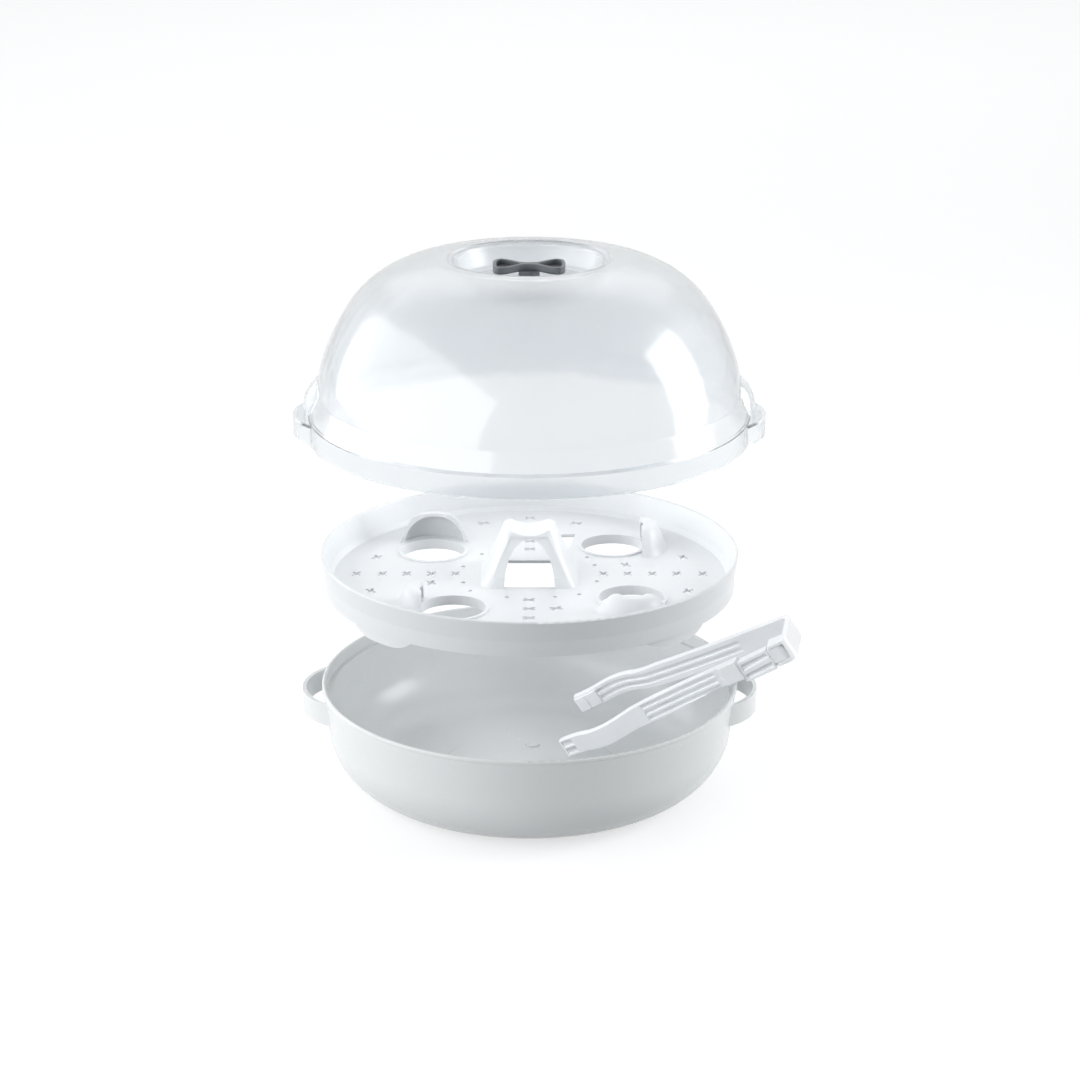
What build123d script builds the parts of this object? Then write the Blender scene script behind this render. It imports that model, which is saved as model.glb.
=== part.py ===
"""Bottle sterilizer: bowl, perforated tray, clear domed lid with turning knob, and a pair of tongs.

Millimetres, Z up. The origin is the centre of the bowl's foot. The tray and the lid stand lifted
above the bowl, and the tongs lean over its right rim.
"""
import math
import os

from build123d import *

os.makedirs("parts", exist_ok=True)

# Bowl
BOWL_H = 65.0
RIM_R = 128.5
FOOT_R = 86.2
CORNER_R = 39.0
INNER_CORNER_R = 36.5
BOWL_FLOOR = 3.3
STEP_R = 56.0
PIP_R = 4.6
PIP_SPOT = (1.5, 34.0)
LEDGE_Z = 57.0
LEDGE_R = 123.3
MOUTH_R = 126.2
# Handle ears, shared by bowl and lid: an arc standing out from the round wall
EAR_ARC_R = 41.0
EAR_OUT = 141.0
EAR_T = 2.4
EAR_TOP = 59.5
EAR_LOW = 46.0
# Tray
TRAY_Z = 128.1
TRAY_H = 21.6
TRAY_R_LOW = 125.1
TRAY_R_TOP = 127.1
TRAY_T = 2.2
FLOOR_TOP = 4.6
FLOOR_T = 2.0
LUG_DROP = 6.4
HOLE_R = 19.5
HOOD_T = 2.0
TOWER_TOP = 32.0
SLOT_W = 40.0
SLOT_D = 55.0
SLOT_LONG = 8.6
SLOT_BROAD = 2.2
# Lid
LID_Z = 224.0
LID_H = 106.2
LID_T = 2.2
SKIRT_R = 132.3
DISH_R = 45.5
DISH_FLOOR_R = 38.5
DISH_Z = 92.0
DISH_T = 2.6
EAR_LID_H = 12.0
# Knob
STEM_R = 5.0
STEM_GAP = 0.06
KNOB_LOW = 92.3
KNOB_TOP = 102.6
KNOB_HALF = 20.5
HOLLOW_DEEP = 6.5
WAIST_R = 34.0
WAIST_DIP = 1.7
CLIP_T = 1.4
CLIP_R = 8.2
CLIP_GAP = 6.4
# Tongs
TAIL = Vector(162.0, -8.2, 95.6)
TONG_X = Vector(-0.82412, 0.28361, -0.4903)
TONG_UP = Vector(-0.53001, -0.08079, 0.84414)
STRIP_T = 4.0
STRIP_TOP = 7.5
CAP_LOW = -8.0
STRAP_H = 10.4
CHEEK_U = 12.3
PIVOT_U = 7.4
PIVOT_V = 12.2
EYE_R = 3.6
PIN_R = 2.0
PIN_GAP = 0.06
GROOVE_D = 1.1
GRIP_T = 1.6


def bowl_ear(sign):
    """Outer arc of one ear as a circle standing out from the wall."""
    return (sign * (EAR_OUT - EAR_ARC_R), 0)


with BuildPart() as base_bowl:
    with BuildSketch(Plane.XZ):
        with BuildLine():
            Line((0, 0), (FOOT_R, 0))
            outside = CenterArc((FOOT_R, CORNER_R), CORNER_R, -90, 87)
            Polyline(
                outside @ 1,
                (RIM_R - 0.6, BOWL_H - 2.8),
                (RIM_R, BOWL_H - 2.2),
                (RIM_R, BOWL_H - 0.8),
            )
            ThreePointArc(
                (RIM_R, BOWL_H - 0.8),
                ((RIM_R + MOUTH_R) / 2, BOWL_H),
                (MOUTH_R, BOWL_H - 0.8),
            )
            Polyline(
                (MOUTH_R, BOWL_H - 0.8),
                (MOUTH_R - 0.2, LEDGE_Z),
                (LEDGE_R, LEDGE_Z),
                (FOOT_R + 0.2 + INNER_CORNER_R, CORNER_R),
            )
            inside = CenterArc((FOOT_R + 0.2, CORNER_R), INNER_CORNER_R, 0, -90)
            Polyline(
                inside @ 1,
                (STEP_R + 0.6, CORNER_R - INNER_CORNER_R),
                (STEP_R - 0.6, BOWL_FLOOR),
                (0, BOWL_FLOOR),
                (0, 0),
            )
        make_face()
    revolve(axis=Axis.Z)
    # Finger loops: a strap stands out from the wall on each side, open above and below
    for side in (-1, 1):
        with BuildSketch(Plane.XY.offset(EAR_LOW)):
            with Locations(bowl_ear(side)):
                Circle(EAR_ARC_R)
                Circle(EAR_ARC_R - EAR_T, mode=Mode.SUBTRACT)
            Circle(MOUTH_R - 0.2, mode=Mode.SUBTRACT)
        extrude(amount=EAR_TOP - EAR_LOW)
    # Low round pip on the floor behind the middle
    with BuildSketch(Plane.XY.offset(BOWL_FLOOR - 0.1)):
        with Locations(PIP_SPOT):
            Circle(PIP_R)
    extrude(amount=1.3)


# Bottle seats: middle x, middle y, the way the hood stands from the hole, hood height
SEATS = [
    (-60.5, 40.5, 90, 18.5),
    (52.0, 50.5, 0, 16.0),
    (61.0, -43.0, -90, 9.0),
    (-45.0, -60.0, 180, 14.0),
]
SEAT_BACK = 18.0
# Hood sections: share of the height, depth and half width of the outside
HOOD_STEPS = [(-0.03, 17.5, 22.5), (0.18, 15.0, 20.0), (0.62, 12.5, 16.5), (1.0, 4.0, 6.0)]
# Radii of the butterfly slots along each of the four straight rays
RAYS = (45.2, 60.0, 75.2, 90.0, 106.0)
# Tower sections above the floor: level, width, depth, corner radius
TOWER_STEPS = [(-0.5, 60, 55, 9), (5.5, 53, 49, 8), (TOWER_TOP, 31, 22, 6)]
TOWER_HOLLOW = [(-6.0, 50, 50, 6), (5.5, 48.4, 44.4, 6), (TOWER_TOP - 5.6, 30.2, 21.8, 4.5)]
SADDLE_R = 24.0
PANEL_LOW = 22.5
PANEL_TOP = 11.6
PANEL_DEEP = 0.9
# Three-cornered drain behind the tower
DRAIN = [(16.5, 72.5), (29.0, 73.5), (24.5, 46.5)]


def slot_spots():
    """Places of the butterfly slots, the same on each quarter of the floor."""
    spots = []
    for quarter in range(4):
        turn = math.radians(90 * quarter)
        for r in RAYS:
            spots.append((r, turn))
        spots.append((61.5, turn + math.radians(15)))
        spots.append((100.0, turn + math.radians(17.5)))
        spots.append((100.0, turn - math.radians(17.5)))
    return [(r * math.cos(a), r * math.sin(a)) for r, a in spots]


def pin_spots():
    """Small round drains in a ring about the tower."""
    spots = []
    for quarter in range(4):
        for r, a in ((43.0, 21.0), (43.0, 72.0), (46.5, 40.0)):
            t = math.radians(90 * quarter + a)
            spots.append((r * math.cos(t), r * math.sin(t)))
    return spots


def clear_of_seats(spots, gap):
    """Leaves out the spots that meet a seat, its hood, the tower or the three-cornered drain."""
    kept = []
    for x, y in spots:
        clear = abs(x) > 31.5 or abs(y) > 31.5
        if math.hypot(x - 23.3, y - 64.0) < 12.0 + gap:
            clear = False
        for sx, sy, face, high in SEATS:
            turn = math.radians(face)
            hood_x = sx + (SEAT_BACK + 2.0) * math.cos(turn)
            hood_y = sy + (SEAT_BACK + 2.0) * math.sin(turn)
            if math.hypot(x - sx, y - sy) < HOLE_R + gap:
                clear = False
            if math.hypot(x - hood_x, y - hood_y) < 18.0 + gap:
                clear = False
        if clear:
            kept.append((x, y))
    return kept


FLOOR_Z = TRAY_Z + FLOOR_TOP

hoods = []
for sx, sy, face, high in SEATS:
    turn = math.radians(face)
    seat_plane = Plane(
        origin=(sx, sy, FLOOR_Z),
        x_dir=(math.cos(turn), math.sin(turn), 0),
        z_dir=(0, 0, 1),
    )
    with BuildPart() as hood:
        # Swelling shell behind the hole, wide at its foot
        for share, deep, wide in HOOD_STEPS:
            with BuildSketch(seat_plane.offset(share * high)):
                with Locations((SEAT_BACK, 0)):
                    Ellipse(deep, wide)
        loft()
        for share, deep, wide in HOOD_STEPS:
            with BuildSketch(seat_plane.offset(max(share, 0) * (high - HOOD_T))):
                with Locations((SEAT_BACK, 0)):
                    Ellipse(min(deep, 15.4) - HOOD_T, min(wide, 20.4) - HOOD_T)
        loft(mode=Mode.SUBTRACT)
        # Open mouth toward the hole
        with BuildSketch(seat_plane.offset(-2)):
            with Locations((SEAT_BACK - 30, 0)):
                Rectangle(60, 60)
        extrude(amount=40, mode=Mode.SUBTRACT)
    hoods.append(hood.part)

with BuildPart() as panel_cut:
    with BuildSketch(Plane.XZ):
        with BuildLine():
            Polyline(
                (-PANEL_LOW, FLOOR_Z + 6.0),
                (-PANEL_TOP, FLOOR_Z + 28.0),
                (PANEL_TOP, FLOOR_Z + 28.0),
                (PANEL_LOW, FLOOR_Z + 6.0),
                (-PANEL_LOW, FLOOR_Z + 6.0),
            )
        make_face()
    extrude(amount=40, both=True)
    for level, wide, deep, corner in TOWER_STEPS:
        with BuildSketch(Plane.XY.offset(FLOOR_Z + level)):
            RectangleRounded(wide + 20, deep - 2 * PANEL_DEEP, 2.0)
    loft(mode=Mode.SUBTRACT)


with BuildPart() as tray:
    with BuildSketch(Plane.XZ):
        with BuildLine():
            Polyline(
                (0, TRAY_Z + FLOOR_TOP - FLOOR_T),
                (TRAY_R_LOW - TRAY_T - 2.5, TRAY_Z + FLOOR_TOP - FLOOR_T),
                (TRAY_R_LOW - TRAY_T, TRAY_Z + 1.0),
                (TRAY_R_LOW - TRAY_T, TRAY_Z),
                (TRAY_R_LOW, TRAY_Z),
                (TRAY_R_LOW, TRAY_Z + 9.0),
                (TRAY_R_TOP, TRAY_Z + TRAY_H - 1.0),
            )
            ThreePointArc(
                (TRAY_R_TOP, TRAY_Z + TRAY_H - 1.0),
                (TRAY_R_TOP - 1.1, TRAY_Z + TRAY_H),
                (TRAY_R_TOP - TRAY_T, TRAY_Z + TRAY_H - 1.0),
            )
            Polyline(
                (TRAY_R_TOP - TRAY_T, TRAY_Z + TRAY_H - 1.0),
                (TRAY_R_LOW - TRAY_T - 0.3, TRAY_Z + FLOOR_TOP + 3.0),
                (TRAY_R_LOW - TRAY_T - 3.0, TRAY_Z + FLOOR_TOP),
                (0, TRAY_Z + FLOOR_TOP),
                (0, TRAY_Z + FLOOR_TOP - FLOOR_T),
            )
        make_face()
    revolve(axis=Axis.Z)
    # Central tower: a lofted saddle with arched mouths front and back
    for level, wide, deep, corner in TOWER_STEPS:
        with BuildSketch(Plane.XY.offset(FLOOR_Z + level)):
            RectangleRounded(wide, deep, corner)
    loft()
    for level, wide, deep, corner in TOWER_HOLLOW:
        with BuildSketch(Plane.XY.offset(FLOOR_Z + level)):
            RectangleRounded(wide, deep, corner)
    loft(mode=Mode.SUBTRACT)
    with BuildSketch(Plane.XZ):
        with Locations((0, FLOOR_Z)):
            Ellipse(15.2, 26.6)
        with Locations((0, FLOOR_Z - 20)):
            Rectangle(40, 40, mode=Mode.SUBTRACT)
        with Locations((0, FLOOR_Z + TOWER_TOP + SADDLE_R - 3.2)):
            Circle(SADDLE_R)
    extrude(amount=40, both=True, mode=Mode.SUBTRACT)
    # Sunk panels on the legs leave the tower's sides standing proud
    add(panel_cut.part, mode=Mode.SUBTRACT)
    # Floor under the tower, with its oblong opening
    with BuildSketch(Plane.XY.offset(FLOOR_Z - FLOOR_T)):
        RectangleRounded(58, 62, 4)
        Rectangle(SLOT_W, SLOT_D, mode=Mode.SUBTRACT)
    extrude(amount=FLOOR_T)
    # Bottle seats: a round hole with a collar, and the hood standing at its back
    for sx, sy, face, high in SEATS:
        with BuildSketch(Plane.XY.offset(FLOOR_Z - 5.0)):
            with Locations((sx, sy)):
                Circle(HOLE_R + HOOD_T)
        extrude(amount=6.0)
    add(hoods)
    for sx, sy, face, high in SEATS:
        with BuildSketch(Plane.XY.offset(FLOOR_Z - 12.0)):
            with Locations((sx, sy)):
                Circle(HOLE_R)
        extrude(amount=60, mode=Mode.SUBTRACT)
    # Butterfly slots and round drains
    with BuildSketch(Plane.XY.offset(FLOOR_Z - FLOOR_T - 1)):
        for x, y in clear_of_seats(slot_spots(), 5.5):
            tilt = math.degrees(math.atan2(y, x))
            for lean in (-32, 32):
                with Locations(Location((x, y, 0), (0, 0, 90 + tilt + lean))):
                    SlotOverall(SLOT_LONG, SLOT_BROAD)
        with Locations(*clear_of_seats(pin_spots(), 2.5)):
            Circle(1.5)
        with BuildLine():
            Polyline(*DRAIN, DRAIN[0])
        make_face()
    extrude(amount=FLOOR_T + 2, mode=Mode.SUBTRACT)
    # Locating lugs under the rim
    for quarter in range(4):
        a = 45 + 90 * quarter
        rad = math.radians(a)
        radial = Plane(
            origin=(117 * math.cos(rad), 117 * math.sin(rad), TRAY_Z),
            x_dir=(-math.sin(rad), math.cos(rad), 0),
            z_dir=(math.cos(rad), math.sin(rad), 0),
        )
        with BuildSketch(radial) as lug_face:
            with BuildLine():
                Spline(
                    (-28, 2.8),
                    (-21, -3.4),
                    (-11, -LUG_DROP),
                    (0, -LUG_DROP - 0.2),
                    (11, -LUG_DROP),
                    (21, -3.4),
                    (28, 2.8),
                )
                Line((28, 2.8), (-28, 2.8))
            make_face()
        lug_block = extrude(lug_face.sketch, amount=6.5, mode=Mode.PRIVATE)
        with BuildSketch(Plane.XY.offset(TRAY_Z - 8)) as ring_face:
            Circle(TRAY_R_LOW - TRAY_T + 0.02)
            Circle(TRAY_R_LOW - TRAY_T - 2.0, mode=Mode.SUBTRACT)
        ring_block = extrude(ring_face.sketch, amount=14, mode=Mode.PRIVATE)
        add(lug_block & ring_block)


def lid_outer_points():
    return [
        (126.6, 26.0),
        (124.4, 40.0),
        (119.4, 55.0),
        (111.9, 70.0),
        (103.6, 82.0),
        (94.0, 91.3),
        (82.5, 98.4),
        (69.0, 103.2),
        (57.0, 105.6),
        (49.0, LID_H),
    ]


def lid_inner_points():
    pts = []
    outer = lid_outer_points()
    for i, (r, z) in enumerate(outer):
        before = outer[max(i - 1, 0)]
        after = outer[min(i + 1, len(outer) - 1)]
        dr = after[0] - before[0]
        dz = after[1] - before[1]
        n = math.hypot(dr, dz)
        pts.append((r - LID_T * dz / n, z + LID_T * dr / n))
    return pts


with BuildPart() as lid_dome:
    outer = [(r, LID_Z + z) for r, z in lid_outer_points()]
    inner = [(r, LID_Z + z) for r, z in lid_inner_points()]
    # Solid outside first
    with BuildSketch(Plane.XZ):
        with BuildLine():
            Polyline(
                (0, LID_Z),
                (SKIRT_R, LID_Z),
                (SKIRT_R - 0.3, LID_Z + 12.6),
                (SKIRT_R - 1.6, LID_Z + 14.4),
                outer[0],
            )
            Spline(*outer, tangents=[(-0.12, 1), (-1, 0.03)])
            ThreePointArc(
                outer[-1],
                (DISH_R + 0.8, LID_Z + LID_H - 0.8),
                (DISH_R - 0.6, LID_Z + LID_H - 3.2),
            )
            Polyline(
                (DISH_R - 0.6, LID_Z + LID_H - 3.2),
                (DISH_FLOOR_R + 2.0, LID_Z + DISH_Z + 2.0),
                (DISH_FLOOR_R, LID_Z + DISH_Z),
                (0, LID_Z + DISH_Z),
                (0, LID_Z),
            )
        make_face()
    revolve(axis=Axis.Z)
    for side in (-1, 1):
        with BuildSketch(Plane.XY.offset(LID_Z)):
            with Locations(bowl_ear(side)):
                Circle(EAR_ARC_R + 0.4)
        extrude(amount=EAR_LID_H)
        with BuildSketch(Plane.XY.offset(LID_Z + 10)):
            with Locations((side * 117.5, 0)):
                Circle(17.2)
        with BuildSketch(Plane.XY.offset(LID_Z + 24)):
            with Locations((side * 117.0, 0)):
                Circle(16.6)
        with BuildSketch(Plane.XY.offset(LID_Z + 35)):
            with Locations((side * 113.0, 0)):
                Circle(12.0)
        loft()
    # Hollow inside, following the outside at the wall thickness
    with BuildSketch(Plane.XZ):
        with BuildLine():
            Polyline(
                (0, LID_Z - 1),
                (SKIRT_R - LID_T, LID_Z - 1),
                (SKIRT_R - LID_T - 0.2, LID_Z + 11.8),
                inner[0],
            )
            Spline(*inner, tangents=[(-0.12, 1), (-1, 0.03)])
            Polyline(
                inner[-1],
                (DISH_R + 1.2, LID_Z + LID_H - 4.0),
                (DISH_FLOOR_R + 4.2, LID_Z + DISH_Z + 0.6),
                (DISH_FLOOR_R + 0.8, LID_Z + DISH_Z - DISH_T),
                (0, LID_Z + DISH_Z - DISH_T),
                (0, LID_Z - 1),
            )
        make_face()
    revolve(axis=Axis.Z, mode=Mode.SUBTRACT)
    for side in (-1, 1):
        with BuildSketch(Plane.XY.offset(LID_Z - 1)):
            with Locations(bowl_ear(side)):
                Circle(EAR_ARC_R + 0.4 - LID_T)
        extrude(amount=EAR_LID_H - LID_T + 1, mode=Mode.SUBTRACT)
        with BuildSketch(Plane.XY.offset(LID_Z + 5)):
            with Locations((side * 117.5, 0)):
                Circle(15.0)
        with BuildSketch(Plane.XY.offset(LID_Z + 23)):
            with Locations((side * 117.0, 0)):
                Circle(14.4)
        with BuildSketch(Plane.XY.offset(LID_Z + 32.5)):
            with Locations((side * 113.0, 0)):
                Circle(9.8)
        loft(mode=Mode.SUBTRACT)
    with BuildSketch(Plane.XY.offset(LID_Z + DISH_Z - 10)):
        Circle(STEM_R + STEM_GAP)
    extrude(amount=20, mode=Mode.SUBTRACT)


# Right wing of the knob from above: outline corners, then the hollow inside its rim
WING = [(0, 3.9), (6.0, 6.0), (11.5, 10.6), (17.5, 12.2), (20.5, 7.5)]
HOLLOW = [(4.2, 1.6), (8.0, 4.2), (12.0, 7.4), (16.4, 8.8), (18.4, 5.4)]


def wing_outline(points, end):
    """Closed outline of one wing, mirrored front to back."""
    back = [(x, -y) for x, y in reversed(points)]
    with BuildSketch() as outline:
        with BuildLine():
            Spline(*points)
            Spline(points[-1], (end, 0), back[0], tangents=[(0.3, -1), (-0.3, -1)])
            Spline(*back)
            Line(back[-1], points[0])
        make_face()
    return outline.sketch


with BuildPart() as lid_knob:
    low = LID_Z + KNOB_LOW
    top = LID_Z + KNOB_TOP
    with BuildSketch(Plane.XY.offset(low)):
        add(wing_outline(WING, KNOB_HALF + 0.9))
        mirror(about=Plane.YZ)
    extrude(amount=top - low)
    # Deep hollow inside the rim of each wing
    with BuildSketch(Plane.XY.offset(top - HOLLOW_DEEP)):
        add(wing_outline(HOLLOW, 18.9))
        mirror(about=Plane.YZ)
    extrude(amount=HOLLOW_DEEP + 1, mode=Mode.SUBTRACT)
    # The rims run down a little toward the waist
    with BuildSketch(Plane.XZ):
        with Locations((0, top + WAIST_R - WAIST_DIP)):
            Circle(WAIST_R)
    extrude(amount=20, both=True, mode=Mode.SUBTRACT)
    # Stem with its groove
    with BuildSketch(Plane.XY.offset(LID_Z + DISH_Z - 7.0)):
        Circle(STEM_R)
    extrude(amount=KNOB_LOW - DISH_Z + 7.5)
    with BuildSketch(Plane.XY.offset(LID_Z + DISH_Z - DISH_T - 0.3 - CLIP_T)):
        Circle(STEM_R + 1)
        Circle(STEM_R - 1, mode=Mode.SUBTRACT)
    extrude(amount=CLIP_T, mode=Mode.SUBTRACT)

with BuildPart() as knob_clip:
    with BuildSketch(Plane.XY.offset(LID_Z + DISH_Z - DISH_T - 0.3 - CLIP_T)):
        Circle(CLIP_R)
        Circle(STEM_R - 1, mode=Mode.SUBTRACT)
        with Locations((0, -CLIP_R / 2 - 2)):
            Rectangle(CLIP_GAP, CLIP_R + 4, mode=Mode.SUBTRACT)
    extrude(amount=CLIP_T)

TONGS = Plane(origin=TAIL, x_dir=TONG_X, z_dir=TONG_UP)
# The same place seen from beside the tongs: length and height, going out toward the far arm
TONGS_SIDE = Plane(origin=TAIL, x_dir=TONG_X, z_dir=TONG_X.cross(TONG_UP))
# Middle line of one arm: length from the tail, distance from the middle
ARM = [
    (12, 13.6),
    (30, 14.5),
    (40, 15.0),
    (52, 15.6),
    (70, 17.0),
    (90, 19.0),
    (104, 20.7),
    (113, 22.4),
    (121, 25.6),
    (131, 28.6),
    (142, 28.1),
    (149, 25.9),
    (155, 24.8),
    (164, 24.4),
]
# Heights of the grooves: three on an outer face, two on an inner face
OUTER_GROOVES = (-4.7, 0.0, 4.7)
INNER_GROOVES = (-2.5, 2.5)
# Side outlines in length and height that the arms are trimmed to
ARM_TOP = [(-1, STRIP_TOP), (100, STRIP_TOP), (118, 6.5), (166, 6.2)]
TIP_LOW = [(166, -6.2), (118, -6.6), (100, -7.5)]
FAR_LOW = [(60, CAP_LOW), (-1, CAP_LOW)]
NEAR_LOW = [(88, -7.5), (52, -5.6), (-1, -5.6)]


def along(low, high):
    """Part of the arm's middle line between two lengths."""
    return [point for point in ARM if low <= point[0] <= high]


def strip_face(points, side, inner, outer):
    """Flat outline between two offsets from a path; side is 1 for the near arm, -1 for the far."""
    one = []
    two = []
    for i, (u, v) in enumerate(points):
        before = points[max(i - 1, 0)]
        after = points[min(i + 1, len(points) - 1)]
        du = after[0] - before[0]
        dv = after[1] - before[1]
        n = math.hypot(du, dv)
        one.append((u - dv / n * outer, side * (v + du / n * outer)))
        two.append((u - dv / n * inner, side * (v + du / n * inner)))
    with BuildSketch() as outline:
        with BuildLine():
            Spline(*one)
            Line(one[-1], two[-1])
            Spline(*reversed(two))
            Line(two[0], one[0])
        make_face()
    return outline.sketch


with BuildPart() as tongs_far_arm:
    with BuildSketch(TONGS.offset(-12)):
        add(strip_face(ARM, -1, -STRIP_T / 2, STRIP_T / 2))
    extrude(amount=24)
    # Springy tail wall with rounded corners joins the arm to the hinge cheeks
    with BuildSketch(TONGS.offset(-12)):
        with BuildLine():
            Line((14, -15.7), (6, -15.3))
            ThreePointArc((6, -15.3), (1.8, -13.5), (0, -9.3))
            Line((0, -9.3), (0, 9.6))
            ThreePointArc((0, 9.6), (1.8, 14.1), (6, 16.0))
            Polyline(
                (6, 16.0),
                (CHEEK_U, 16.1),
                (CHEEK_U, 7.5),
                (3.0, 7.5),
                (3.0, -9.5),
                (5.4, -11.7),
                (14, -11.8),
                (14, -15.7),
            )
        make_face()
    extrude(amount=24)
    with BuildSketch(TONGS_SIDE):
        with BuildLine():
            Polyline(*ARM_TOP, *TIP_LOW, *FAR_LOW, ARM_TOP[0])
        make_face()
    extrude(amount=60, both=True, mode=Mode.INTERSECT)
    # Grip block inside the tip, with a line across it
    with BuildSketch(TONGS.offset(-5)):
        add(strip_face(along(149, 164), -1, -STRIP_T / 2 - GRIP_T, 0))
    extrude(amount=10)
    with BuildSketch(TONGS_SIDE.offset(19.8)):
        with Locations((156, 0)):
            Rectangle(0.9, 11)
    extrude(amount=1.8, mode=Mode.SUBTRACT)
    # Two pockets in the outer face of the tip
    with BuildSketch(TONGS_SIDE.offset(25.2)):
        with Locations((159.2, 2.9), (159.2, -2.9)):
            Rectangle(7.6, 4.4)
    extrude(amount=5, mode=Mode.SUBTRACT)
    # Room for the near arm's root between two cheeks
    with BuildSketch(TONGS.offset(-STRAP_H / 2 - 0.3)):
        with Locations((CHEEK_U - 4.6, PIVOT_V)):
            Rectangle(9.4, 14)
    extrude(amount=STRAP_H + 0.6, mode=Mode.SUBTRACT)
    with BuildSketch(TONGS.offset(-12)):
        with Locations((PIVOT_U, PIVOT_V)):
            Circle(PIN_R)
    extrude(amount=24, mode=Mode.SUBTRACT)
    for level in OUTER_GROOVES:
        with BuildSketch(TONGS.offset(level - 1.5)):
            add(strip_face(along(52, 104), -1, STRIP_T / 2 - GROOVE_D, STRIP_T / 2 + 1))
        extrude(amount=3.0, mode=Mode.SUBTRACT)
    for level in INNER_GROOVES:
        with BuildSketch(TONGS.offset(level - 1.6)):
            add(strip_face(along(40, 149), -1, -STRIP_T / 2 - 1, GROOVE_D - STRIP_T / 2))
        extrude(amount=3.2, mode=Mode.SUBTRACT)

with BuildPart() as tongs_near_arm:
    with BuildSketch(TONGS.offset(-12)):
        add(strip_face(along(40, 164), 1, -STRIP_T / 2, STRIP_T / 2))
    extrude(amount=24)
    # Thick shoulder where strap and strip meet
    with BuildSketch(TONGS.offset(-12)):
        with BuildLine():
            Polyline((34, 12.2), (46, 13.2), (48.5, 17.6), (46, 19.2), (35.5, 18.6), (34, 12.2))
        make_face()
    extrude(amount=24)
    with BuildSketch(TONGS_SIDE):
        with BuildLine():
            Polyline(*ARM_TOP, *TIP_LOW, *NEAR_LOW, ARM_TOP[0])
        make_face()
    extrude(amount=60, both=True, mode=Mode.INTERSECT)
    with BuildSketch(TONGS.offset(-5)):
        add(strip_face(along(149, 164), 1, -STRIP_T / 2 - GRIP_T, 0))
    extrude(amount=10)
    with BuildSketch(TONGS_SIDE.offset(-21.6)):
        with Locations((156, 0)):
            Rectangle(0.9, 11)
    extrude(amount=1.8, mode=Mode.SUBTRACT)
    with BuildSketch(TONGS_SIDE.offset(-30.2)):
        with Locations((159.2, 2.9), (159.2, -2.9)):
            Rectangle(7.6, 4.4)
    extrude(amount=5, mode=Mode.SUBTRACT)
    # Root strap, deeper than the strip and dropping outside the bowl's rim
    with BuildSketch(TONGS_SIDE.offset(-16.6)):
        with BuildLine():
            Polyline((13.9, 6.3), (36, 5.0), (36, -8.6), (34, -9.6), (13.9, -8.6), (13.9, 6.3))
        make_face()
    extrude(amount=5.0)
    # Hinge eye
    with BuildSketch(TONGS.offset(-STRAP_H / 2)):
        with Locations((PIVOT_U, PIVOT_V)):
            Circle(EYE_R)
        with BuildLine():
            Polyline((PIVOT_U, 9.4), (15, 12.3), (15, 15.8), (PIVOT_U, 15.8), (PIVOT_U, 9.4))
        make_face()
    extrude(amount=STRAP_H)
    with BuildSketch(TONGS.offset(-12)):
        with Locations((PIVOT_U, PIVOT_V)):
            Circle(PIN_R + PIN_GAP)
    extrude(amount=24, mode=Mode.SUBTRACT)
    # Two channels in the strap, with a rib between them
    with BuildSketch(TONGS_SIDE.offset(-20)):
        with BuildLine():
            Polyline((15.2, 4.4), (34, 3.0), (34, -1.6), (15.2, 0.8), (15.2, 4.4))
        make_face()
        with BuildLine():
            Polyline((15.2, -2.6), (34, -4.4), (34, -8.0), (15.2, -6.6), (15.2, -2.6))
        make_face()
    extrude(amount=5.0, mode=Mode.SUBTRACT)
    for level in OUTER_GROOVES:
        with BuildSketch(TONGS.offset(level - 1.5)):
            add(strip_face(along(52, 104), 1, STRIP_T / 2 - GROOVE_D, STRIP_T / 2 + 1))
        extrude(amount=3.0, mode=Mode.SUBTRACT)
    for level in INNER_GROOVES:
        with BuildSketch(TONGS.offset(level - 1.6)):
            add(strip_face(along(52, 149), 1, -STRIP_T / 2 - 1, GROOVE_D - STRIP_T / 2))
        extrude(amount=3.2, mode=Mode.SUBTRACT)

with BuildPart() as tongs_pin:
    with BuildSketch(TONGS.offset(CAP_LOW)):
        with Locations((PIVOT_U, PIVOT_V)):
            Circle(PIN_R)
    extrude(amount=STRIP_TOP - CAP_LOW)

base_bowl.part.label = "base_bowl"
tray.part.label = "tray"
lid_dome.part.label = "lid_dome"
lid_knob.part.label = "lid_knob"
knob_clip.part.label = "knob_clip"
tongs_far_arm.part.label = "tongs_far_arm"
tongs_near_arm.part.label = "tongs_near_arm"
tongs_pin.part.label = "tongs_pin"

export_step(base_bowl.part, "parts/base_bowl.step")
export_step(tray.part, "parts/tray.step")
export_step(lid_dome.part, "parts/lid_dome.step")
export_step(lid_knob.part, "parts/lid_knob.step")
export_step(knob_clip.part, "parts/knob_clip.step")
export_step(tongs_far_arm.part, "parts/tongs_far_arm.step")
export_step(tongs_near_arm.part, "parts/tongs_near_arm.step")
export_step(tongs_pin.part, "parts/tongs_pin.step")
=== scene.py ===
# %% [markdown]
# # A microwave bottle sterilizer, shown apart
# A round white bowl takes a little water, a perforated tray stands on its shelf and holds
# the bottles, and a clear dome keeps the steam in. A pair of tongs leans over the bowl's
# rim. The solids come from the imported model, in metres, with Z up and the bowl's foot on
# Z = 0. This script gives them their finishes, draws the knob again in its softer form,
# and sets up a studio and a camera.

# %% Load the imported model
import math

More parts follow.
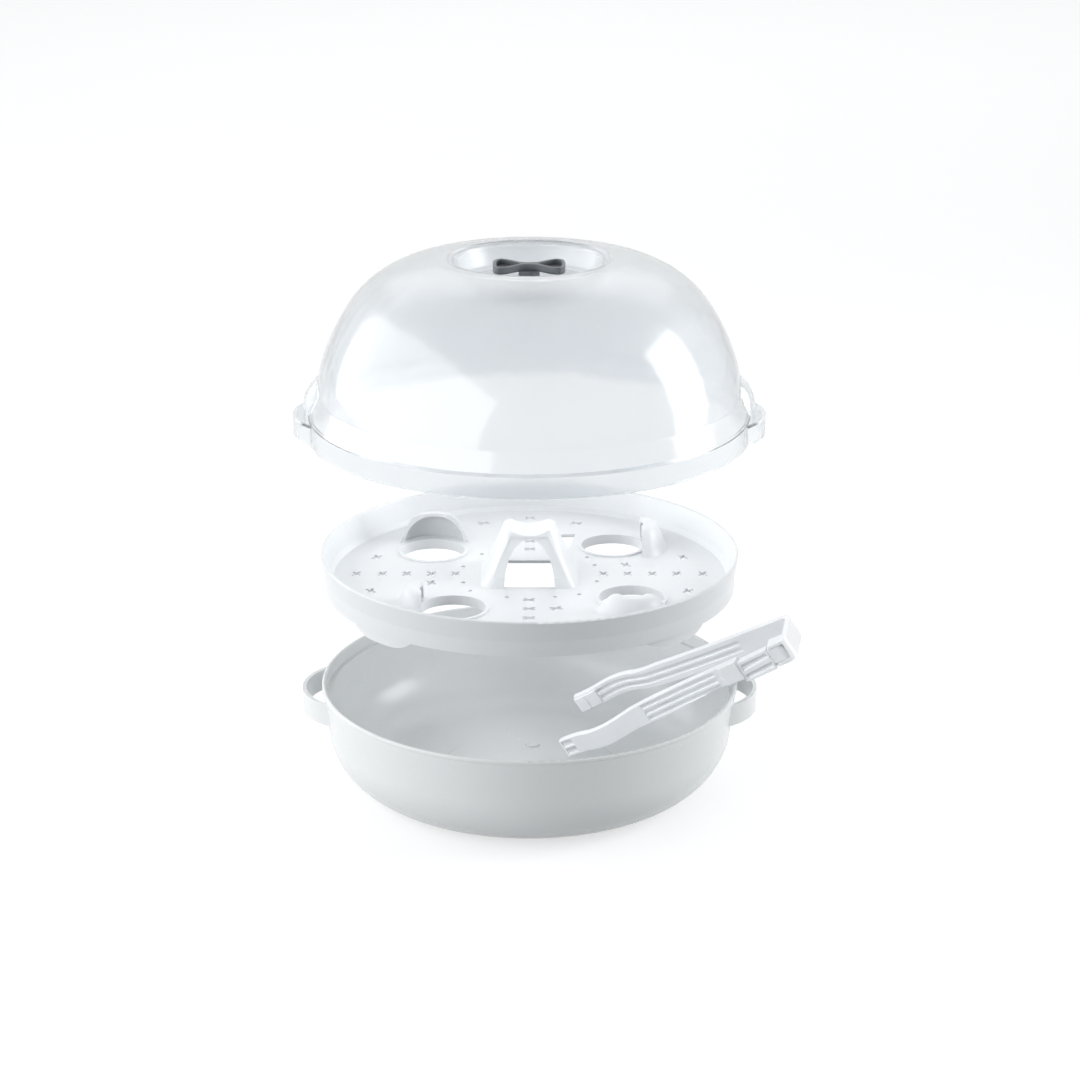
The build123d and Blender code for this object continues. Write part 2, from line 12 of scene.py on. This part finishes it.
import bpy
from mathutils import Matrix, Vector


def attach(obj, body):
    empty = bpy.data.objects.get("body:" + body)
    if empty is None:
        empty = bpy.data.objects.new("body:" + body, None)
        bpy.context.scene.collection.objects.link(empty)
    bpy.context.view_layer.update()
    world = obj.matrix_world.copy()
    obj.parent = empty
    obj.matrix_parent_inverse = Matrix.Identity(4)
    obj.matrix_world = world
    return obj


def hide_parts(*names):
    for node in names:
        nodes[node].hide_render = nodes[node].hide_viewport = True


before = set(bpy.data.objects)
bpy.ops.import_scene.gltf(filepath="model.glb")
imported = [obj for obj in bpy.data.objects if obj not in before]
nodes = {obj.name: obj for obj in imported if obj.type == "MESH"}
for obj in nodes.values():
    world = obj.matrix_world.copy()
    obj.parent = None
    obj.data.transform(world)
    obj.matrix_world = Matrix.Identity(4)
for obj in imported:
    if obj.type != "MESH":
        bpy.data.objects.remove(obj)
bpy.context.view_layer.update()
print("solids:", ", ".join(sorted(nodes)))

# %% [markdown]
# ## Colours and nodes
# Colours are written the way a paint program shows them, as sRGB hex. Blender's sockets
# want linear light, so one function turns the one into the other. A second function adds
# a shader node with its settings and links in one call, which keeps each material short.

# %% Colour and node helpers
def linear(hex_colour):
    """An sRGB hex colour as linear red, green, blue and a full alpha."""
    channels = [int(hex_colour[i:i + 2], 16) / 255 for i in (1, 3, 5)]
    return [
        c / 12.92 if c <= 0.04045 else ((c + 0.055) / 1.055) ** 2.4 for c in channels
    ] + [1.0]


def add_node(tree, kind, settings=None, links=None):
    """A node of this kind, with its sockets or properties set and its inputs linked."""
    node = tree.nodes.new(kind)
    for name, value in (settings or {}).items():
        if isinstance(name, int) or name in node.inputs:
            node.inputs[name].default_value = value
        else:
            setattr(node, name, value)
    for name, source in (links or {}).items():
        tree.links.new(source, node.inputs[name])
    return node


MM = 0.001


def per_mm(size):
    """The Scale of a pattern on metre coordinates whose features are this many mm."""
    return 1 / (size * MM)


# %% [markdown]
# ## The camera
# The photograph looks down at the dome by about 19 degrees from a good arm's length and
# a half, through a lens a little longer than a portrait lens. The axis of the round
# parts stands a touch left of the middle of the picture, so camera and target both move
# right by the same few millimetres instead of turning the view.

# %% Camera at the photograph's angle
CAMERA_PITCH = math.radians(19.31)
CAMERA_AWAY = 1.535
AIM = Vector((0.0064, 0.0, 0.1545))
LENS_MM = 84.0
SENSOR_MM = 36.0

camera_data = bpy.data.cameras.new("studio_camera")
camera_data.lens = LENS_MM
camera_data.sensor_width = SENSOR_MM
camera_data.clip_start = 0.05
camera_data.clip_end = 60.0
camera = bpy.data.objects.new("studio_camera", camera_data)
bpy.context.scene.collection.objects.link(camera)
back = Vector((0.0, -math.cos(CAMERA_PITCH), math.sin(CAMERA_PITCH)))
camera.location = AIM + back * CAMERA_AWAY
camera.rotation_euler = (-back).to_track_quat("-Z", "Y").to_euler()
bpy.context.scene.camera = camera
print("camera at", [round(v, 3) for v in camera.location])

# %% [markdown]
# ## Floor, backdrop and light
# A wide soft box stands to the left and a narrow one to the right, both low, in a white
# room. The lid mirrors them as the two bright windows on its shoulders. The room is the
# world: anything that the camera, a mirror-like reflection or glass sees of it is plain
# white, and what lights the object is dimmer. The floor is pale and takes the object's
# shadow. Its camera share adds just enough to bring unshaded floor to white without any
# more light on the object.

# %% What the camera, reflections and glass see
def seen_share(tree):
    """An output that is 1 for camera, glossy and transmission rays, else 0."""
    path = add_node(tree, "ShaderNodeLightPath")
    share = path.outputs["Is Camera Ray"]
    for ray in ("Is Glossy Ray", "Is Transmission Ray"):
        either = add_node(
            tree,
            "ShaderNodeMath",
            {"operation": "MAXIMUM"},
            {0: share, 1: path.outputs[ray]},
        )
        share = either.outputs[0]
    return share


# %% World
ROOM_WHITE = 1.0
ROOM_FILL = 0.24

world = bpy.data.worlds.new("white_room")
bpy.context.scene.world = world
world.use_nodes = True
tree = world.node_tree
tree.nodes.clear()
fill = add_node(
    tree, "ShaderNodeBackground", {"Color": linear("#F8F9FA"), "Strength": ROOM_FILL}
)
white = add_node(
    tree, "ShaderNodeBackground", {"Color": (1, 1, 1, 1), "Strength": ROOM_WHITE}
)
room = add_node(
    tree,
    "ShaderNodeMixShader",
    None,
    {0: seen_share(tree), 1: fill.outputs[0], 2: white.outputs[0]},
)
add_node(tree, "ShaderNodeOutputWorld", None, {"Surface": room.outputs[0]})
print("room fill", ROOM_FILL)

# %% Floor
import bmesh

FLOOR_HALF = 7.0
FLOOR_LIFT = 0.62

floor_mesh = bpy.data.meshes.new("studio_floor")
bm = bmesh.new()
bmesh.ops.create_grid(bm, x_segments=1, y_segments=1, size=FLOOR_HALF)
bm.to_mesh(floor_mesh)
bm.free()
floor = bpy.data.objects.new("studio_floor", floor_mesh)
bpy.context.scene.collection.objects.link(floor)

floor_paint = bpy.data.materials.new("matt_white_sweep")
floor_paint.use_nodes = True
tree = floor_paint.node_tree
tree.nodes.clear()
lift = add_node(
    tree,
    "ShaderNodeMath",
    {"operation": "MULTIPLY", 1: FLOOR_LIFT},
    {0: seen_share(tree)},
)
paint = add_node(
    tree,
    "ShaderNodeBsdfPrincipled",
    {
        "Base Color": linear("#B8BABB"),
        "Roughness": 0.9,
        "Emission Color": (1, 1, 1, 1),
    },
    {"Emission Strength": lift.outputs[0]},
)
add_node(tree, "ShaderNodeOutputMaterial", None, {"Surface": paint.outputs[0]})
floor_mesh.materials.append(floor_paint)
print("floor half side in m:", FLOOR_HALF)


# %% Soft boxes
def soft_box(name, where, aim, size, watts):
    """A rectangular soft box that stands at where and faces aim."""
    lamp = bpy.data.lights.new(name, "AREA")
    lamp.shape = "RECTANGLE"
    lamp.size, lamp.size_y = size
    lamp.energy = watts
    box = bpy.data.objects.new(name, lamp)
    bpy.context.scene.collection.objects.link(box)
    box.location = where
    facing = Vector(aim) - Vector(where)
    box.rotation_euler = facing.to_track_quat("-Z", "Y").to_euler()
    box.visible_camera = False
    return box


# The top box is left out of reflections, so that it draws no third window on the lid.
MIDDLE = (0.0, 0.0, 0.16)
soft_box("left_soft_box", (-1.25, -0.35, 0.62), MIDDLE, (3.4, 1.25), 28.0)
soft_box("right_soft_box", (1.3, 0.05, 0.55), MIDDLE, (0.6, 1.0), 12.0)
top = soft_box("top_soft_box", (0.0, 0.6, 1.6), MIDDLE, (1.6, 1.2), 1.0)
top.visible_glossy = False
top.visible_transmission = False
soft_box("backdrop_wash", (0.0, 3.0, 2.2), (0.0, 3.0, 0.0), (4.0, 3.0), 35.0)

# %% [markdown]
# In the photograph the tongs are brighter than the bowl around them, lit from the upper
# left so that their grooves show. The tray would shade them here, so a small soft box
# lights the tongs alone, and only the tongs throw shadows in its light.

# %% Soft box for the tongs
ON_THE_TONGS = (0.1, 0.0, 0.06)
front = soft_box(
    "tongs_soft_box", (-0.6, -0.9, 1.1), ON_THE_TONGS, (0.4, 0.4), 13.0
)
lit = bpy.data.collections.new("lit_by_the_tongs_soft_box")
for node in ("tongs_far_arm", "tongs_near_arm", "tongs_pin"):
    lit.objects.link(nodes[node])
front.light_linking.receiver_collection = lit
front.light_linking.blocker_collection = lit

# %% [markdown]
# ## White moulded polypropylene
# Bowl and tray are injection-moulded polypropylene, steam-proof and slightly waxy. The
# mould is polished, so the skin is glossy but never mirror-flat: it has a faint orange
# peel a couple of millimetres wide, and a gloss that varies from speck to speck. Light
# enters a little way, which softens edges.

# %% White plastic
POLYPROPYLENE_IOR = 1.49
SPECK_MM = 3.0
SKIN_DEPTH = 0.05 * MM
LIGHT_REACH = 2.0 * MM


def moulded_white(name, colour, shade, roughness, peel_mm=2.2, glow=0.06):
    """Polished moulded plastic: two close whites, uneven gloss and orange peel."""
    material = bpy.data.materials.new(name)
    material.use_nodes = True
    tree = material.node_tree
    tree.nodes.clear()
    where = add_node(tree, "ShaderNodeTexCoord").outputs["Object"]
    speck = add_node(
        tree,
        "ShaderNodeTexNoise",
        {"Scale": per_mm(SPECK_MM), "Detail": 4.0, "Roughness": 0.6},
        {"Vector": where},
    )
    tint = add_node(
        tree,
        "ShaderNodeMix",
        {"data_type": "RGBA", 6: linear(colour), 7: linear(shade)},
        {0: speck.outputs["Fac"]},
    )
    gloss = add_node(
        tree,
        "ShaderNodeMapRange",
        {"To Min": roughness * 0.85, "To Max": roughness * 1.15},
        {"Value": speck.outputs["Fac"]},
    )
    peel = add_node(
        tree,
        "ShaderNodeTexNoise",
        {"Scale": per_mm(peel_mm), "Detail": 2.0, "Roughness": 0.5},
        {"Vector": where},
    )
    skin = add_node(
        tree,
        "ShaderNodeBump",
        {"Strength": 0.05, "Distance": SKIN_DEPTH},
        {"Height": peel.outputs["Fac"]},
    )
    plastic = add_node(
        tree,
        "ShaderNodeBsdfPrincipled",
        {
            "IOR": POLYPROPYLENE_IOR,
            "Subsurface Weight": glow,
            "Subsurface Radius": (1.0, 0.9, 0.85),
            "Subsurface Scale": LIGHT_REACH,
        },
        {
            "Base Color": tint.outputs[2],
            "Roughness": gloss.outputs[0],
            "Normal": skin.outputs[0],
        },
    )
    add_node(tree, "ShaderNodeOutputMaterial", None, {"Surface": plastic.outputs[0]})
    return material


bowl_white = moulded_white("bowl_polypropylene", "#F1F3F4", "#ECEFF0", 0.26)
tray_white = moulded_white("tray_polypropylene", "#E8EAEC", "#E3E6E8", 0.30, 1.8)
tongs_white = moulded_white(
    "tongs_polypropylene", "#EDEFF1", "#E9EBEE", 0.30, 2.0, 0.25
)
print("white plastics:", bowl_white.name, tray_white.name, tongs_white.name)

# %% [markdown]
# ## Clear lid plastic
# The dome is clarified polypropylene, see-through but a little milky and faintly blue,
# because its fine crystals scatter light. Most light goes through the 2 mm wall, some
# is scattered back. The skin is polished smoother than the bowl's. A haze that swirls
# out from the middle of the mould changes the gloss slightly. The crown and its dish look
# frosted in the photograph, without a sharp reflection, so the skin turns rougher there
# between two heights in metres above the bowl's foot. With much more frost than this,
# the render draws a jagged line across the dome.

# %% Clear plastic
FLOW_MM = 26.0
LID_PEEL_MM = 5.0
CROWN_LOW = 0.290
CROWN_TOP = 0.316
CROWN_FROST = 0.145


def clear_lid(name):
    """Clarified plastic: transmission with some milk, flow marks, a frosted crown."""
    material = bpy.data.materials.new(name)
    material.use_nodes = True
    tree = material.node_tree
    tree.nodes.clear()
    where = add_node(tree, "ShaderNodeTexCoord").outputs["Object"]
    flow = add_node(
        tree,
        "ShaderNodeTexNoise",
        {
            "Scale": per_mm(FLOW_MM),
            "Detail": 3.0,
            "Roughness": 0.5,
            "Distortion": 0.6,
        },
        {"Vector": where},
    )
    haze = add_node(
        tree,
        "ShaderNodeMapRange",
        {"From Min": 0.3, "From Max": 0.7, "To Min": 0.09, "To Max": 0.12},
        {"Value": flow.outputs["Fac"]},
    )
    height = add_node(tree, "ShaderNodeSeparateXYZ", None, {"Vector": where})
    frost = add_node(
        tree,
        "ShaderNodeMapRange",
        {"From Min": CROWN_LOW, "From Max": CROWN_TOP, "To Max": CROWN_FROST},
        {"Value": height.outputs["Z"]},
    )
    rough = add_node(
        tree,
        "ShaderNodeMath",
        {"operation": "ADD"},
        {0: haze.outputs[0], 1: frost.outputs[0]},
    )
    tint = add_node(
        tree,
        "ShaderNodeMix",
        {"data_type": "RGBA", 6: linear("#EAEDEF"), 7: linear("#E6E9EC")},
        {0: flow.outputs["Fac"]},
    )
    peel = add_node(
        tree,
        "ShaderNodeTexNoise",
        {"Scale": per_mm(LID_PEEL_MM), "Detail": 2.0},
        {"Vector": where},
    )
    skin = add_node(
        tree,
        "ShaderNodeBump",
        {"Strength": 0.08, "Distance": SKIN_DEPTH},
        {"Height": peel.outputs["Fac"]},
    )
    plastic = add_node(
        tree,
        "ShaderNodeBsdfPrincipled",
        {"IOR": POLYPROPYLENE_IOR, "Transmission Weight": 0.955},
        {
            "Base Color": tint.outputs[2],
            "Roughness": rough.outputs[0],
            "Normal": skin.outputs[0],
        },
    )
    add_node(tree, "ShaderNodeOutputMaterial", None, {"Surface": plastic.outputs[0]})
    return material


lid_clear = clear_lid("clarified_polypropylene")
print("clear plastic:", lid_clear.name, "frosted above", CROWN_LOW, "m")

# %% [markdown]
# ## Grey knob plastic
# The knob is solid-coloured grey plastic from a spark-eroded mould, so it is satin with
# a fine grain. Real grain is a quarter of a millimetre, finer than a pixel here, so it
# is drawn twice as coarse.

# %% Grey plastic
GRAIN_MM = 0.5
GRAIN_DEPTH = 0.08 * MM


def grained_grey(name, colour, shade):
    """Solid-coloured satin plastic: two close greys in a fine raised grain."""
    material = bpy.data.materials.new(name)
    material.use_nodes = True
    tree = material.node_tree
    tree.nodes.clear()
    where = add_node(tree, "ShaderNodeTexCoord").outputs["Object"]
    grain = add_node(
        tree,
        "ShaderNodeTexNoise",
        {"Scale": per_mm(GRAIN_MM), "Detail": 2.0},
        {"Vector": where},
    )
    tint = add_node(
        tree,
        "ShaderNodeMix",
        {"data_type": "RGBA", 6: linear(colour), 7: linear(shade)},
        {0: grain.outputs["Fac"]},
    )
    skin = add_node(
        tree,
        "ShaderNodeBump",
        {"Strength": 0.25, "Distance": GRAIN_DEPTH},
        {"Height": grain.outputs["Fac"]},
    )
    plastic = add_node(
        tree,
        "ShaderNodeBsdfPrincipled",
        {"IOR": POLYPROPYLENE_IOR, "Roughness": 0.42},
        {"Base Color": tint.outputs[2], "Normal": skin.outputs[0]},
    )
    add_node(tree, "ShaderNodeOutputMaterial", None, {"Surface": plastic.outputs[0]})
    return material


knob_grey = grained_grey("knob_grained_plastic", "#6A6F73", "#5B6065")
clip_grey = grained_grey("clip_plastic", "#696E72", "#5B6064")
print("grey plastics:", knob_grey.name, clip_grey.name)

# %% [markdown]
# ## The knob
# The knob is a shallow bow on a round hub. Its outline is a closed curve around two
# lobes and a narrow waist, filled and thickened into a floor. The same outline with a
# loop cut out of each lobe makes the raised rim. The curve is a cubic spline, so it
# stays a little inside its control points.

# %% Bow outline and lobe loops
from mathutils import Matrix

BOW_CORNER = [(21.4, 0), (21.2, 9.5), (17, 13.5), (11, 9.5), (5, 3.2)]
LOBE_HALF = [(19.2, 7.4), (16.6, 11.4), (12, 7.6), (7, 2.2)]
LOBE_TIP = (19.4, 0)
LOBE_ROOT = (4.6, 0)

bow = (
    BOW_CORNER
    + [(0, 2.6)]
    + [(-x, y) for x, y in reversed(BOW_CORNER)]
    + [(-x, -y) for x, y in BOW_CORNER[1:]]
    + [(0, -2.6)]
    + [(x, -y) for x, y in reversed(BOW_CORNER[1:])]
)
lobe = (
    [LOBE_TIP] + LOBE_HALF + [LOBE_ROOT] + [(x, -y) for x, y in reversed(LOBE_HALF)]
)
other_lobe = [(-x, y) for x, y in lobe]


def slab(outlines, low, high, round_off=0.3):
    """A mesh of these closed outlines in mm, filled between them from low to high."""
    curve = bpy.data.curves.new("slab", "CURVE")
    curve.dimensions = "2D"
    curve.fill_mode = "BOTH"
    curve.resolution_u = 8
    curve.extrude = ((high - low) / 2 - round_off) * MM
    curve.bevel_depth = round_off * MM
    curve.bevel_resolution = 2
    curve.offset = -round_off * MM
    for outline in outlines:
        spline = curve.splines.new("NURBS")
        spline.points.add(len(outline) - 1)
        for point, (x, y) in zip(spline.points, outline):
            point.co = (x * MM, y * MM, 0, 1)
        spline.order_u = 4
        spline.use_cyclic_u = True
    holder = bpy.data.objects.new("slab", curve)
    mesh = bpy.data.meshes.new_from_object(holder)
    bpy.data.objects.remove(holder)
    mesh.transform(Matrix.Translation((0, 0, (low + high) / 2 * MM)))
    return mesh


print("bow outline points:", len(bow), "lobe loop points:", len(lobe))

# %% [markdown]
# The hub, the stem that turns in the lid's hole and the groove for the clip are one
# profile, spun about the axis. Floor, rim and spun hub go into one mesh.

# %% Knob
BOW_LOW = 322.4
BOW_TOP = 326.6
BOW_FLOOR = 1.2
SPIN_STEPS = 64
SHARP_EDGE = math.radians(35)
STEM_PROFILE = [
    (0, 309.0),
    (5.0, 309.0),
    (5.0, 311.6),
    (4.0, 311.6),
    (4.0, 313.2),
    (5.0, 313.2),
    (5.0, 316.3),
    (6.2, 316.5),
    (6.2, 322.9),
    (0, 322.9),
]

bm = bmesh.new()
points = [bm.verts.new((r * MM, 0, z * MM)) for r, z in STEM_PROFILE]
edges = [bm.edges.new(pair) for pair in zip(points, points[1:])]
bmesh.ops.spin(
    bm, geom=points + edges, axis=(0, 0, 1), angle=math.tau, steps=SPIN_STEPS
)
bmesh.ops.remove_doubles(bm, verts=bm.verts, dist=0.01 * MM)
bmesh.ops.recalc_face_normals(bm, faces=bm.faces)
bm.from_mesh(slab([bow], BOW_LOW, BOW_LOW + BOW_FLOOR))
bm.from_mesh(slab([bow, lobe, other_lobe], BOW_LOW, BOW_TOP))
for face in bm.faces:
    face.smooth = True
    face.material_index = 0
knob_mesh = bpy.data.meshes.new("bow_knob")
bm.to_mesh(knob_mesh)
bm.free()
knob_mesh.set_sharp_from_angle(angle=SHARP_EDGE)
knob_mesh.materials.clear()
knob_mesh.materials.append(knob_grey)
knob = bpy.data.objects.new("bow_knob", knob_mesh)
bpy.context.scene.collection.objects.link(knob)
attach(knob, "knob")
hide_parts("lid_knob")
print("knob triangles:", sum(len(p.vertices) - 2 for p in knob_mesh.polygons))

# %% [markdown]
# ## Finishes on the solids
# Each solid's mesh stays as packed and only its material slot changes. In the photograph
# nothing under the lid is darker for it, so the lid throws no shadow.

# %% Assign the finishes
FINISHES = {
    "base_bowl": bowl_white,
    "tray": tray_white,
    "lid_dome": lid_clear,
    "lid_knob": knob_grey,
    "knob_clip": clip_grey,
    "tongs_far_arm": tongs_white,
    "tongs_near_arm": tongs_white,
    "tongs_pin": tongs_white,
}
for node, material in FINISHES.items():
    mesh = nodes[node].data
    mesh.materials.clear()
    mesh.materials.append(material)
nodes["lid_dome"].visible_shadow = False
print("finished solids:", len(FINISHES))

# %% [markdown]
# ## Picture settings
# Colours go to the picture as they are written.

# %% Picture settings and the end
bpy.context.scene.view_settings.view_transform = "Standard"
